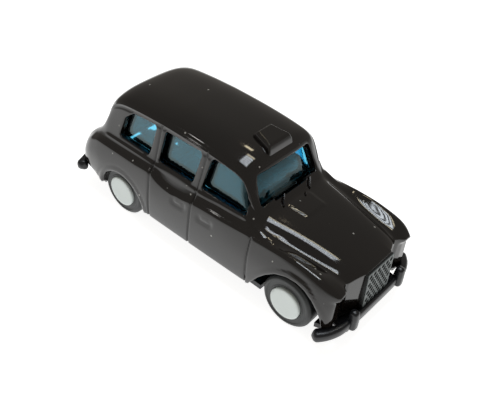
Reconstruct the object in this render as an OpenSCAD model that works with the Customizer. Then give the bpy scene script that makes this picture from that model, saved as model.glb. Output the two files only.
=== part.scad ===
// Small die-cast toy taxi cab: hollow black casting, blue window insert,
// plastic base with bumpers, and two press-fitted wheelsets that roll.
// +X is the front of the cab, +Y its left side, +Z up. Origin: on the ground,
// under the middle of the overall length.

/* [Overall] */
// Distance between the two axles
wheelbase = 41.0; // [36:0.5:48]
// Front axle centre, ahead of the origin
front_axle_x = 21.75; // [18:0.25:25]
// Factor on the height of everything above the sills
body_height_factor = 1.0; // [0.8:0.05:1.2]
// Factor on the width of the casting
body_width_factor = 1.0; // [0.9:0.02:1.1]

/* [Casting] */
// Wall of the zinc casting
wall = 1.15; // [0.8:0.05:1.6]
// Underside of the sills above the ground
sill_z = 4.2; // [3.4:0.1:5]

/* [Windows] */
// Wall of the clear blue moulding
glaze_wall = 0.8; // [0.5:0.05:1.2]
// Room between the casting and the clear moulding
glaze_gap = 0.12; // [0.05:0.01:0.3]

/* [Running gear] */
// Radius of the tyres, and so the height of the axles
tyre_radius = 5.1; // [4.2:0.1:6]
// Width of the tyres
tyre_width = 3.2; // [2.2:0.1:4]
// Distance from the middle of the cab to the outer face of a tyre
tyre_face_y = 11.45; // [10.5:0.05:12.2]
// Radius of the pale hub discs
hub_radius = 3.08; // [2:0.02:3.6]
// How far a hub disc stands out of its tyre
hub_stand = 0.5; // [0.2:0.05:0.8]
// Radius of the steel axles
axle_radius = 0.6; // [0.4:0.05:0.9]
// Room round the axle in its bearings
axle_clearance = 0.08; // [0.03:0.01:0.1]

/* [Base] */
// Thickness of the base plate
plate_thick = 1.1; // [0.8:0.05:1.6]
// Underside of the base plate above the ground
plate_z = 3.6; // [2.8:0.1:4.2]
// Room between the base plate and the casting
plate_gap = 0.15; // [0.05:0.05:0.4]
// Radius of the casting's posts
post_radius = 1.3; // [0.9:0.1:1.8]
// Room round a post in the base plate
post_gap = 0.08; // [0.03:0.01:0.2]

/* [Hidden] */
$fn = 48;

rear_axle_x = front_axle_x - wheelbase;
mid_x = (front_axle_x + rear_axle_x) / 2;
axle_z = tyre_radius;
press = 0.02; // how much smaller a tyre's bore is than its axle
post_front_x = mid_x + 14.6;
post_rear_x = mid_x - 29.2;
black = [0.03, 0.03, 0.032];
blue = [0.05, 0.3, 0.5, 0.6];

// Stations along the cab, from the middle of the wheelbase.
stations = [-33.3, -33.3, -33.0, -32.3, -31.0, -29.5, -28.3, -27.4, -26.6, -25.6, -24.2, -22, -19,
  -15.5, -12.6, -11.5, -10.4, -8.5, -5, -1.5, 2, 4.6, 6.4, 7.5, 8.2, 8.9, 9.6, 10.3, 11.0, 11.8,
  13.2, 15.5, 18, 20.5, 23, 25.2, 27, 28.3, 29.2, 29.7, 29.7];

// Height of the roof, screen and bonnet on the centre line: [x, z].
top_line = [[-33.3, 8.6], [-33, 10.4], [-32.3, 12], [-31, 13.7], [-29.5, 14.9], [-28.3, 15.8],
  [-27.4, 17.6], [-26.6, 20.4], [-25.6, 22.8], [-24.2, 24.5], [-22, 25.5], [-17, 26], [-10, 26.2],
  [-3, 26.1], [3, 25.7], [6.4, 25.2], [7.5, 24.7], [8.2, 23.7], [8.9, 22.2], [10.3, 18.8],
  [11, 17.3], [11.8, 16.7], [13.2, 16.5], [17, 16.2], [21, 15.7], [25, 15], [28.3, 14.1],
  [29.7, 13.5]];
// Height of the crest of the wings and doors: [x, z].
crest_line = [[-33.3, 7.4], [-32.3, 10.2], [-31, 12], [-29.5, 13.2], [-27, 14], [-22, 14.1],
  [-16, 14.2], [-12.6, 14.5], [-11.5, 14.4], [-10.4, 13.6], [-8.5, 13.1], [-6.5, 12.9], [-4, 13.2],
  [-1.5, 13.9], [2, 14.2], [6, 14.3], [10, 14.4], [13.2, 14.6], [16, 14.9], [20, 15.1],
  [24, 14.8], [27, 14.1], [28.6, 13.4], [29.7, 12.5]];
// How far out the crest stands: [x, y].
crest_out = [[-33.3, 9.2], [-32.3, 10.3], [-31, 11], [-29.5, 11.4], [-26, 11.7], [-15, 11.9],
  [-5, 12], [5, 11.95], [12, 11.6], [20, 11.4], [27, 11.3], [28.6, 11], [29.7, 10.3]];
// How far out the flank stands below the crest: [x, y].
flank_out = [[-33.3, 9.4], [-33, 10.1], [-32.3, 11.1], [-31, 11.9], [-29.5, 12.3], [-26, 12.6],
  [-15, 12.6], [0, 12.6], [12, 12.5], [20, 12.7], [25, 12.7], [27, 12.5], [28.3, 12.1],
  [29.2, 11.5], [29.7, 10.7]];
// Height of the foot of the windows, then of the valley beside the bonnet: [x, z].
belt_line = [[-33.3, 8.1], [-32.3, 11.4], [-31, 13], [-29.5, 14.2], [-27.4, 15.5], [-25.6, 16.2],
  [-22, 16.3], [10.3, 16.3], [11.8, 15.8], [13.2, 15.2], [18, 14.5], [23, 13.9], [27, 13.4],
  [28.6, 13], [29.7, 12.6]];

// Half section at x, from the top centre line to the sill: [y, z] of each control point.
function section(x) = let (
    t = lookup(x, top_line), belt = min(lookup(x, belt_line), t - 0.35),
    cy = lookup(x, crest_out), sy = lookup(x, flank_out),
    cz = x < 10.5 ? min(lookup(x, crest_line), belt - 0.25) : lookup(x, crest_line),
    cabin = lookup(x, [[9.6, 1], [11.8, 0]]), boot = lookup(x, [[-29.5, 1], [-25.6, 0]]),
    ry = 8.1 - 1.5 * boot, d = t - belt,
    cab = [[0, t], [0.34 * ry, t - 0.03], [0.68 * ry, t - 0.22], [ry, t - min(0.95, 0.28 * d)],
      [ry + 0.85 - 0.1 * boot, t - min(1.8, 0.45 * d)], [9.45 - boot, t - min(3, 0.62 * d)],
      [9.9 - 0.9 * boot, belt + 0.42 * min(d, 7)], [10.4 - 0.7 * boot, belt + 0.1],
      [10.6 - 0.6 * boot, belt - 0.35 * min(1, d)]],
    by = lookup(x, [[11, 6.6], [29.7, 5.4]]), v = min(belt, t - 0.8), s = t - 0.45 - v,
    bonnet = [[0, t], [0.3 * by, t - 0.02], [0.62 * by, t - 0.14], [by, t - 0.45],
      [by + 1.15, t - 0.45 - 0.3 * s], [by + 2, t - 0.45 - 0.72 * s], [by + 2.7, v],
      [by + 3.3, v + 0.03], [by + 3.9, v + 0.35 * max(0, cz - v)]],
    up = cabin * cab + (1 - cabin) * bonnet, ledge = up[8], k = cz - sill_z)
  concat(up, [[(ledge[0] + cy) / 2 + 0.1,
      cabin > 0 ? max(min(ledge[1], cz + 0.3), cz - 0.15 * (1 - cabin)) : cz - 0.1],
    [cy, cz], [cy + 0.28, cz - 0.09 * k], [sy - 0.05, cz - 0.34 * k], [sy, cz - 0.64 * k],
    [sy - 0.1, cz - 0.89 * k], [sy - 0.3, sill_z]]);

// Which way each control point moves, [y, z], when the skin is taken inwards.
in_cabin = [[0, -1], [0, -1], [-0.1, -1], [-0.5, -0.9], [-0.85, -0.55], [-1, -0.2], [-1, -0.1],
  [-1, -0.1], [-0.9, -0.5], [-0.8, -0.8], [-0.9, -0.6], [-1, -0.15], [-1, 0], [-1, 0], [-1, 0], [-1, 0]];
in_bonnet = [[0, -1], [0, -1], [0, -1], [-0.1, -1], [-0.3, -1], [-0.3, -1], [-0.1, -1], [0, -1],
  [0, -1], [-0.2, -1], [-0.8, -0.9], [-1, -0.2], [-1, 0], [-1, 0], [-1, 0], [-1, 0]];
// The same along x, where the skin is steep: [x, share of the inset].
in_x = [[-33.3, 1], [-28, 0.6], [-27, 0.95], [-25, 0.8], [-21, 0], [4.6, 0], [8, -0.85], [11, -0.95],
  [12.5, -0.2], [14, 0], [27, 0], [29.7, -1]];

function raised(z) = z < sill_z ? z : sill_z + (z - sill_z) * body_height_factor;
function inset_section(x, d) = let (c = lookup(x, [[9.6, 1], [11.8, 0]]), h = section(x))
  [for (j = [0:15]) let (p = h[j] + d * (c * in_cabin[j] + (1 - c) * in_bonnet[j]))
    [x + d * lookup(x, in_x), max(0, p[0] * body_width_factor), raised(p[1])]];

// Uniform cubic spline weights.
function weights(t) = [pow(1 - t, 3), 3 * pow(t, 3) - 6 * t * t + 4,
  -3 * pow(t, 3) + 3 * t * t + 3 * t + 1, pow(t, 3)] / 6;
// One section from right sill to left sill as a smooth curve, n points to a span.
function full(h) = concat([for (j = [15, each [15:-1:1]]) [h[j][0], -h[j][1], h[j][2]]], h, [h[15]]);
function smooth(p, n) = [for (k = [0:(len(p) - 3) * n])
  let (i = min(floor(k / n), len(p) - 4)) weights(k / n - i) * [p[i], p[i + 1], p[i + 2], p[i + 3]]];

// Solid under the casting's skin, the skin taken in by d, down to the height foot.
module skin_solid(d, foot, n = 1) {
  rows = [for (x = stations) smooth(full(inset_section(x, d)), n)];
  cols = len(rows[0]);
  grid = [for (i = [0:len(rows) - 3]) let (g = [for (c = [0:cols - 1])
      (rows[i][c] + 4 * rows[i + 1][c] + rows[i + 2][c]) / 6])
    concat([[g[0][0], g[0][1], foot]], g, [[g[cols - 1][0], g[cols - 1][1], foot]])];
  ring = cols + 2;
  last = len(grid) - 1;
  sides = [for (i = [0:last - 1], j = [0:ring - 1]) let (a = i * ring + j, b = i * ring + (j + 1) % ring)
    each [[a, b, b + ring], [a, b + ring, a + ring]]];
  polyhedron([for (g = grid) each g], concat(sides, [[for (j = [ring - 1:-1:0]) j]],
    [[for (j = [0:ring - 1]) last * ring + j]]), convexity = 8);
}

// Window outlines seen from the side and from the end, as corner lists.
front_window = [[-0.8, 16.72], [0.52, 23.1], [5.5, 23.1], [7.9, 21.86], [9.84, 18.85], [9.84, 16.69]];
middle_window = [[-11.53, 16.66], [-10.48, 23.17], [-1.63, 23.21], [-2.94, 16.73]];
quarter_window = [[-22.11, 16.86], [-20.94, 21.05], [-18.89, 22.72], [-12.69, 23.19], [-13.87, 16.71]];
windscreen = [[-8, 17.4], [-7.1, 22.8], [7.1, 22.8], [8, 17.4]];
rear_window = [[-5.2, 18.32], [-4.7, 22.47], [4.7, 22.47], [5.2, 18.32]];
// Wheel openings seen from the side, and what the tail is cut back to behind the rear wheels.
front_arch = [[12.2, 2], [12.3, 3.6], [13.5, 5.7], [14.9, 7.7], [16.3, 9.4], [18.2, 11], [20.3, 11.8],
  [22.3, 11.9], [24.1, 11.5], [25.8, 10.4], [27.1, 8.9], [27.9, 7.2], [28.3, 5.4], [28.4, 2]];
tail_cut = [[-36, 2], [-36, 6.28], [-28.4, 5.73], [-27.2, 5.2], [-25, 5], [-25, 2]];

module rounded(pts, r) {
  offset(r, $fn = 16) offset(-r) polygon([for (p = pts) [p[0], raised(p[1])]]);
}
module side_cut(pts, r = 0) {
  translate([0, 15, 0]) rotate([90, 0, 0]) linear_extrude(30) rounded(pts, r);
}
module end_cut(pts, r, x, len) {
  translate([x, 0, 0]) rotate([90, 0, 90]) linear_extrude(len) rounded(pts, r);
}

grille_x = 29.1; // back of the grille block
grille_size = [1.3, 7.8, 7.9];
cell = 1.25; // pitch of the honeycomb

// Cast grille: a block with staggered six-sided cells sunk into its face.
module grille() {
  rows = 7;
  cols = 6;
  translate([grille_x, 0, 5.5]) difference() {
    translate([0, -grille_size[1] / 2, 0]) cube(grille_size);
    for (r = [0:rows - 1], c = [0:cols - 1 - r % 2])
      translate([grille_size[0] - 0.35, (c - (cols - 1 - r % 2) / 2) * cell, 0.7 + r * cell * 0.87])
        rotate([0, 90, 0]) cylinder(r = cell * 0.43, h = 1, $fn = 6);
  }
}

module posts(r, z0, h, sides = 32) {
  for (x = [post_front_x, post_rear_x]) translate([x - mid_x, 0, z0]) rotate(3.05)
    cylinder(r = r, h = h, $fn = sides);
}

module body_shell() {
  color(black) translate([mid_x, 0, 0]) resize([0, 0, 0]) union() {
    difference() {
      skin_solid(0, sill_z, 2);
      intersection() {
        skin_solid(wall, sill_z - 2);
        translate([-31.63, -20, 0]) cube([70, 40, 40]);
      }
      side_cut(front_window, 0.5);
      side_cut(middle_window, 0.5);
      side_cut(quarter_window, 0.6);
      end_cut(windscreen, 0.9, 5, 8);
      end_cut(rear_window, 0.8, -29, 4.5);
      side_cut(front_arch);
      translate([-19.8, 0, 4.1]) rotate([90, 0, 0]) cylinder(r = 5.9, h = 40, center = true, $fn = 48);
      side_cut(tail_cut);
      bumpers(plate_gap);
      // valley between each wing and the bonnet, down the front
      for (s = [-1, 1]) translate([30.45, s * 9.35, 0]) cylinder(r = 1, h = 20, $fn = 20);
    }
    grille();
    // roof sign
    hull() {
      translate([3, -2.1, raised(25.2)]) cube([0.6, 4.2, 1.5]);
      translate([6.6, -3.1, raised(24.4)]) cube([0.9, 6.2, 1.6]);
    }
    intersection() {
      skin_solid(0.3, sill_z);
      posts(post_radius + 0.74, plate_z + plate_thick + 0.02, 30, 26);
    }
    posts(post_radius, plate_z + 0.2, 4);
    for (x = [post_front_x, post_rear_x]) translate([x - mid_x, 0, plate_z + 0.08])
      cylinder(r1 = post_radius + 0.2, r2 = post_radius + 0.45, h = 0.38, $fn = 32);
  }
}

module window_insert() {
  d = wall + glaze_gap;
  color(blue) translate([mid_x, 0, 0]) resize([0, 0, 0]) intersection() {
    difference() {
      skin_solid(d, sill_z);
      skin_solid(d + glaze_wall, sill_z - 2);
    }
    translate([-26.9, -15, raised(15.9)]) cube([38.4, 30, 20]);
  }
}

// Half outline of the base plate, from the tail to the nose, x from the middle of the wheelbase.
plate_outline = [[-31.6, 7.4], [-30.9, 9.2], [-29.6, 10.4], [-27, 10.9], [26, 11], [27, 10.4], [28, 8.2]];

module plate_profile(y_cut) {
  difference() {
    polygon(concat(plate_outline, [for (i = [len(plate_outline) - 1:-1:0])
      [plate_outline[i][0], -plate_outline[i][1]]]));
    for (x = [-wheelbase / 2, wheelbase / 2], s = [-1, 1])
      translate([x - tyre_radius - 0.7, s > 0 ? y_cut : -20 - y_cut]) square([2 * tyre_radius + 1.4, 20]);
  }
}

// A bumper bar as half plans joined by hulls, thick in x, and its pair of overriders.
module bumper(pts, z0, z1, r, tip, room) {
  for (s = [-1, 1]) {
    for (i = [0:len(pts) - 2]) hull() for (p = [pts[i], pts[i + 1]])
      translate([p[0], s * p[1], z0 - room]) cylinder(r = r + room, h = z1 - z0 + 2 * room, $fn = 16);
    translate([tip[0], s * tip[1], (z0 + z1) / 2]) sphere(r = tip[2] + room, $fn = 24);
  }
}
module overrider(x, y, z0, z1, r) {
  translate([x, y, z0]) cylinder(r = r, h = z1 - z0, $fn = 24);
  translate([x, y, z1]) sphere(r = r, $fn = 24);
}
// Both bumpers; with room, the space the casting leaves for them.
module bumpers(room = 0) {
  bumper([[31.1, 0], [31.1, 6.5], [30.5, 10], [29.1, 13]], 4.4, 6.5, 0.5, [28.7, 13.2, 1.05], room);
  bumper([[-33.98, 0], [-33.98, 6.5], [-33.45, 9.6], [-32, 12]], 4.6, 6.67, 0.5, [-31.7, 12.1, 1.15], room);
  for (s = [-1, 1]) {
    overrider(31.15, s * 7, 3.8, 7.2, 0.95 + room);
    overrider(-33.7, s * 6.4, 4, 7, 0.9 + room);
  }
}

module base_plate() {
  in_y = tyre_face_y - tyre_width - 0.5;
  color(black) difference() {
    union() {
      translate([mid_x, 0, plate_z]) linear_extrude(plate_thick) plate_profile(in_y);
      for (x = [front_axle_x, rear_axle_x]) translate([x - 1.7, -in_y + 0.6, plate_z])
        cube([3.4, 2 * in_y - 1.2, axle_z - plate_z + 1.5]);
      translate([mid_x, 0, 0]) {
        // tongues under the casting out to the bumpers
        translate([26, -7, plate_z]) cube([5, 14, sill_z - plate_z - 0.1]);
        translate([-33.8, -7, plate_z]) cube([4.6, 14, sill_z - plate_z - 0.1]);
        translate([30.65, -7, plate_z]) cube([0.9, 14, 1.2]);
        translate([-34.3, -7, plate_z]) cube([0.8, 14, 1.2]);
        bumpers();
      }
    }
    for (x = [front_axle_x, rear_axle_x]) translate([x, 0, axle_z]) rotate([90, 0, 0])
      cylinder(r = axle_radius + axle_clearance, h = 40, center = true);
    for (x = [post_front_x, post_rear_x]) translate([x, 0, 0]) {
      cylinder(r = post_radius + post_gap, h = 12);
      cylinder(r = post_radius + 0.7, h = plate_z + 0.5);
    }
  }
}

module axle(x) {
  color([0.6, 0.6, 0.62]) translate([x, 0, axle_z]) rotate([90, 0, 0])
    cylinder(r = axle_radius, h = 2 * (tyre_face_y - 0.9), center = true);
}
module tyre(x, s) {
  in = tyre_face_y - tyre_width;
  color(black) translate([x, 0, axle_z]) rotate([s > 0 ? -90 : 90, 0, 0]) rotate_extrude($fn = 96)
    polygon([[axle_radius - press, in], [tyre_radius - 0.5, in], [tyre_radius, in + 0.5],
      [tyre_radius, tyre_face_y - 0.6], [tyre_radius - 0.5, tyre_face_y], [hub_radius + 0.02, tyre_face_y],
      [hub_radius + 0.02, tyre_face_y - 0.6], [axle_radius - press, tyre_face_y - 0.6]]);
}
module hub(x, s) {
  color([0.82, 0.85, 0.84]) translate([x, 0, axle_z]) rotate([s > 0 ? -90 : 90, 0, 0]) rotate_extrude($fn = 96)
    polygon([[0, tyre_face_y - 0.6], [hub_radius, tyre_face_y - 0.6], [hub_radius, tyre_face_y + hub_stand - 0.15],
      [hub_radius - 0.15, tyre_face_y + hub_stand], [0, tyre_face_y + hub_stand]]);
}
module front_axle() axle(front_axle_x);
module rear_axle() axle(rear_axle_x);
module front_left_tyre() tyre(front_axle_x, 1);
module front_right_tyre() tyre(front_axle_x, -1);
module rear_left_tyre() tyre(rear_axle_x, 1);
module rear_right_tyre() tyre(rear_axle_x, -1);
module front_left_hub() hub(front_axle_x, 1);
module front_right_hub() hub(front_axle_x, -1);
module rear_left_hub() hub(rear_axle_x, 1);
module rear_right_hub() hub(rear_axle_x, -1);

body_shell();
window_insert();
base_plate();
front_axle();
rear_axle();
front_left_tyre();
front_right_tyre();
rear_left_tyre();
rear_right_tyre();
front_left_hub();
front_right_hub();
rear_left_hub();
rear_right_hub();
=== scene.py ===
# %% [markdown]
# # A small die-cast taxi cab, rebuilt piece by piece
# The object is a pocket-size toy: a hollow black zinc casting, a blue clear moulding behind its
# windows, a black plastic base with the bumpers on it, and two wheelsets that roll. The CAD model
# gives where everything is and how it moves. These cells build the looks on that frame.

# %% Load the CAD frame
import math
import bpy
import bmesh
import numpy as np
from mathutils import Matrix, Quaternion, Vector


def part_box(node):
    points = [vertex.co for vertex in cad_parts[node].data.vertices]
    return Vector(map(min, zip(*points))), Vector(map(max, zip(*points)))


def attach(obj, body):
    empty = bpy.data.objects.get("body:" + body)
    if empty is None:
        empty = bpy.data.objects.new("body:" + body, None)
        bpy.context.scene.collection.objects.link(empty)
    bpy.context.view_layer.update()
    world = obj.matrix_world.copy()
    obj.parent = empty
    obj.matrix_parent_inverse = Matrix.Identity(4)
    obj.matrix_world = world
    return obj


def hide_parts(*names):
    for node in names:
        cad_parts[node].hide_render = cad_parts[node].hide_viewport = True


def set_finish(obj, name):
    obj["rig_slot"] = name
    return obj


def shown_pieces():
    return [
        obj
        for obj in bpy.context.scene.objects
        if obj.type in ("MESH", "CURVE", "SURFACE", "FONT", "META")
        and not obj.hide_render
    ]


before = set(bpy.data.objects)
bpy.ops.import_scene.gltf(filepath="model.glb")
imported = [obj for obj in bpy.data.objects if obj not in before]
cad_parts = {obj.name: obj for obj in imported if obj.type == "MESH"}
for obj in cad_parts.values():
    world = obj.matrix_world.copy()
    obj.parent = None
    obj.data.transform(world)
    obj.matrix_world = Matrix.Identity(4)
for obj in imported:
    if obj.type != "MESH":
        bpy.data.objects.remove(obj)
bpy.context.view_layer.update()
print("CAD nodes:", sorted(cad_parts))

# %% [markdown]
# Everything is written in millimetres and turned into metres when a mesh is made. The cab's tables
# count x from the middle of the wheelbase, so that place is measured from the two axles first.

# %% Where the axles are
MM = 0.001
axle_at = {}
for end in ("front", "rear"):
    low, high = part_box(f"{end}_axle")
    axle_at[end] = (low + high) / 2 / MM
mid_x = (axle_at["front"].x + axle_at["rear"].x) / 2
print("axles at", {k: [round(c, 2) for c in v] for k, v in axle_at.items()}, "middle", round(mid_x, 3))


def piece(name, points, faces, body, slot, stands_for=()):
    """A smooth mesh from points in millimetres, riding on a CAD body."""
    mesh = bpy.data.meshes.new(name)
    mesh.from_pydata((np.asarray(points, float) * MM).tolist(), [], faces)
    mesh.polygons.foreach_set("use_smooth", [True] * len(mesh.polygons))
    mesh.update()
    obj = bpy.data.objects.new(name, mesh)
    bpy.context.scene.collection.objects.link(obj)
    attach(obj, body)
    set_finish(obj, slot)
    if stands_for:
        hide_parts(*stands_for)
    return obj


# %% [markdown]
# The casting has no flat panel anywhere: roof, screen, bonnet and wings run into one another. A
# smooth spline surface over a small cage of control points suits it better than boxes with
# rounded edges. The cage comes from a few lines drawn along the cab, each a table of x and one
# other measure: the centre line of the roof, the crest of the wings and doors, and so on.

# %% Lines drawn along the cab
STATIONS = [-33.3, -33.3, -33, -32.3, -31, -29.5, -28.3, -27.4, -26.6, -25.6, -24.2, -22, -19, -15.5,
            -12.6, -11.5, -10.4, -8.5, -5, -1.5, 2, 4.6, 6.4, 7.5, 8.2, 8.9, 9.6, 10.3, 11, 11.8,
            13.2, 15.5, 18, 20.5, 23, 25.2, 27, 28.3, 29.2, 29.7, 29.7]
TOP = [(-33.3, 8.6), (-33, 10.4), (-32.3, 12), (-31, 13.7), (-29.5, 14.9), (-28.3, 15.8), (-27.4, 17.6),
       (-26.6, 20.4), (-25.6, 22.8), (-24.2, 24.5), (-22, 25.5), (-17, 26), (-10, 26.2), (-3, 26.1),
       (3, 25.7), (6.4, 25.2), (7.5, 24.7), (8.2, 23.7), (8.9, 22.2), (10.3, 18.8), (11, 17.3),
       (11.8, 16.7), (13.2, 16.5), (17, 16.2), (21, 15.7), (25, 15), (28.3, 14.1), (29.7, 13.5)]
CREST_Z = [(-33.3, 7.4), (-32.3, 10.2), (-31, 12), (-29.5, 13.2), (-27, 14), (-22, 14.1), (-16, 14.2),
           (-12.6, 14.5), (-11.5, 14.4), (-10.4, 13.6), (-8.5, 13.1), (-6.5, 12.9), (-4, 13.2),
           (-1.5, 13.9), (2, 14.2), (6, 14.3), (10, 14.4), (13.2, 14.6), (16, 14.9), (20, 15.1),
           (24, 14.8), (27, 14.1), (28.6, 13.4), (29.7, 12.5)]
CREST_Y = [(-33.3, 9.2), (-32.3, 10.3), (-31, 11), (-29.5, 11.4), (-26, 11.7), (-15, 11.9), (-5, 12),
           (5, 11.95), (12, 11.6), (20, 11.4), (27, 11.3), (28.6, 11), (29.7, 10.3)]
FLANK_Y = [(-33.3, 9.4), (-33, 10.1), (-32.3, 11.1), (-31, 11.9), (-29.5, 12.3), (-26, 12.6), (0, 12.6),
           (12, 12.5), (20, 12.7), (25, 12.7), (27, 12.5), (28.3, 12.1), (29.2, 11.5), (29.7, 10.7)]
BELT_Z = [(-33.3, 8.1), (-32.3, 11.4), (-31, 13), (-29.5, 14.2), (-27.4, 15.5), (-25.6, 16.2), (-22, 16.3),
          (10.3, 16.3), (11.8, 15.8), (13.2, 15.2), (18, 14.5), (23, 13.9), (27, 13.4), (28.6, 13),
          (29.7, 12.6)]
EDGE_ROUND = 0.2                       # radius of every cast edge under its paint
SILL_Z = [(-33.3, 6.2), (-28.4, 5.9), (-27.2, 5.3), (-25.5, 4.2), (29.7, 4.2)]
WALL = 1.15


def along(x, rows):
    return float(np.interp(x, [r[0] for r in rows], [r[1] for r in rows]))


print("length of the casting:", round(STATIONS[-1] - STATIONS[0], 1), "mm")

# %% [markdown]
# One half section is sixteen control points, from the roof's centre line down to the sill. Behind
# the screen they describe roof, gutter, window and shoulder. Ahead of it the same points become
# bonnet, valley and wing, and over a couple of millimetres one set fades into the other.

# %% One section of the casting
def half_section(x):
    top, sill = along(x, TOP), along(x, SILL_Z) + EDGE_ROUND
    belt = min(along(x, BELT_Z), top - 0.35)
    crest_y, flank = along(x, CREST_Y), along(x, FLANK_Y)
    crest = along(x, CREST_Z)
    if x < 10.5:
        crest = min(crest, belt - 0.25)
    cabin = float(np.interp(x, [9.6, 11.8], [1, 0]))
    boot = float(np.interp(x, [-29.5, -25.6], [1, 0]))
    roof_y, drop = 8.1 - 1.5 * boot, top - belt
    cabin_side = np.array([
        [0, top], [.34 * roof_y, top - .03], [.68 * roof_y, top - .22],
        [roof_y, top - min(.95, .28 * drop)], [roof_y + .85 - .1 * boot, top - min(1.8, .45 * drop)],
        [9.45 - boot, top - min(3, .62 * drop)], [9.9 - .9 * boot, belt + .42 * min(drop, 7)],
        [10.4 - .7 * boot, belt + .1], [10.6 - .6 * boot, belt - .35 * min(1, drop)]])
    bonnet_y = float(np.interp(x, [11, 14, 25, 29.7], [7.2, 7.0, 5.4, 5.0]))
    valley = min(belt, top - .8)
    fall = top - .45 - valley
    bonnet = np.array([
        [0, top], [.33 * bonnet_y, top - .02], [.68 * bonnet_y, top - .1], [bonnet_y, top - .3],
        [bonnet_y + .8, top - .45 - .12 * fall], [bonnet_y + 1.4, top - .45 - .62 * fall],
        [bonnet_y + 2.0, valley + .03], [bonnet_y + 2.7, valley],
        [bonnet_y + 3.5, valley + .35 * max(0, crest - valley)]])
    upper = cabin * cabin_side + (1 - cabin) * bonnet
    ledge_y, ledge_z = upper[8]
    shoulder = max(min(ledge_z, crest + .3), crest - .15 * (1 - cabin)) if cabin > 0 else crest - .1
    tall = crest - sill
    lower = [[(ledge_y + crest_y) / 2 + .1, shoulder], [crest_y, crest],
             [crest_y + .28, crest - .09 * tall], [flank - .05, crest - .34 * tall],
             [flank, crest - .64 * tall], [flank - .1, crest - .89 * tall], [flank - .3, sill]]
    return np.vstack([upper, lower])


# Which way each control point moves, in y and z, when the skin is taken inwards.
IN_CABIN = np.array([[0, -1], [0, -1], [-.1, -1], [-.5, -.9], [-.85, -.55], [-1, -.2], [-1, -.1],
                     [-1, -.1], [-.9, -.5], [-.8, -.8], [-.9, -.6], [-1, -.15], [-1, 0], [-1, 0],
                     [-1, 0], [-1, 0]])
IN_BONNET = np.array([[0, -1], [0, -1], [0, -1], [-.1, -1], [-.3, -1], [-.3, -1], [-.1, -1], [0, -1],
                      [0, -1], [-.2, -1], [-.8, -.9], [-1, -.2], [-1, 0], [-1, 0], [-1, 0], [-1, 0]])
IN_X = [(-33.3, 1), (-28, .6), (-27, .95), (-25, .8), (-21, 0), (4.6, 0), (8, -.85), (11, -.95),
        (12.5, -.2), (14, 0), (27, 0), (29.7, -1)]


def cage(inset=0.0):
    """Control points of the whole skin, one ring a station, taken in by inset."""
    rings = []
    for x in STATIONS:
        c = float(np.interp(x, [9.6, 11.8], [1, 0]))
        half = half_section(x) + inset * (c * IN_CABIN + (1 - c) * IN_BONNET)
        left = np.column_stack([np.full(16, x + inset * along(x, IN_X)), half])
        right = left[:0:-1] * [1, -1, 1]
        rings.append(np.vstack([right[:1], right, left, left[-1:]]))
    return np.array(rings)


def spline_weights(t):
    return np.stack([(1 - t) ** 3, 3 * t ** 3 - 6 * t * t + 4, -3 * t ** 3 + 3 * t * t + 3 * t + 1,
                     t ** 3], -1) / 6


def on_skin(net, u, v):
    """Points of the spline surface: u runs along the cab, v from the right sill to the left one."""
    iu = np.clip(np.floor(u), 0, net.shape[0] - 4).astype(int)
    iv = np.clip(np.floor(v), 0, net.shape[1] - 4).astype(int)
    wu, wv = spline_weights(u - iu), spline_weights(v - iv)
    return sum((wu[..., a] * wv[..., b])[..., None] * net[iu + a, iv + b]
               for a in range(4) for b in range(4))


outer_net, inner_net = cage(), cage(WALL)
END_U, MID_V = outer_net.shape[0] - 3.0, 15.0
u_steps = np.linspace(0, END_U, 1200)
x_steps = on_skin(outer_net, u_steps, np.full(1200, MID_V))[:, 0]
print("cage:", outer_net.shape, "skin runs from x", round(x_steps[0], 2), "to", round(x_steps[-1], 2))

# %% [markdown]
# Windows and wheel arches are holes in that skin. Each is an outline with rounded corners, seen
# from the side or from the end. A signed distance to the outline, negative inside it, tells which
# part of the skin goes, and the same distance later draws the raised lip round an arch.

# %% Outlines of the openings
def filleted(corners, radius, steps=5):
    """A closed outline with every corner rounded."""
    out, n = [], len(corners)
    for k in range(n):
        p, q, r = (np.array(corners[i % n], float) for i in (k - 1, k, k + 1))
        a, b = (p - q) / np.linalg.norm(p - q), (r - q) / np.linalg.norm(r - q)
        half = math.acos(np.clip(a @ b, -1, 1)) / 2
        cut = min(radius / math.tan(half), 0.45 * min(np.linalg.norm(p - q), np.linalg.norm(r - q)))
        for t in np.linspace(0, 1, steps):
            out.append((1 - t) ** 2 * (q + a * cut) + 2 * t * (1 - t) * q + t * t * (q + b * cut))
    return np.array(out)


def signed_distance(q, outline):
    a, b = outline, np.roll(outline, -1, axis=0)
    d = b - a
    pa = q[..., None, :] - a
    t = np.clip((pa * d).sum(-1) / (d * d).sum(-1), 0, 1)
    far = np.linalg.norm(pa - t[..., None] * d, axis=-1).min(-1)
    over = (a[:, 1] > q[..., None, 1]) != (b[:, 1] > q[..., None, 1])
    rise = np.where(np.abs(d[:, 1]) < 1e-9, 1e-9, d[:, 1])
    hit = over & (q[..., None, 0] < d[:, 0] * (q[..., None, 1] - a[:, 1]) / rise + a[:, 0])
    return np.where(hit.sum(-1) % 2 == 1, -far, far)


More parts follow.
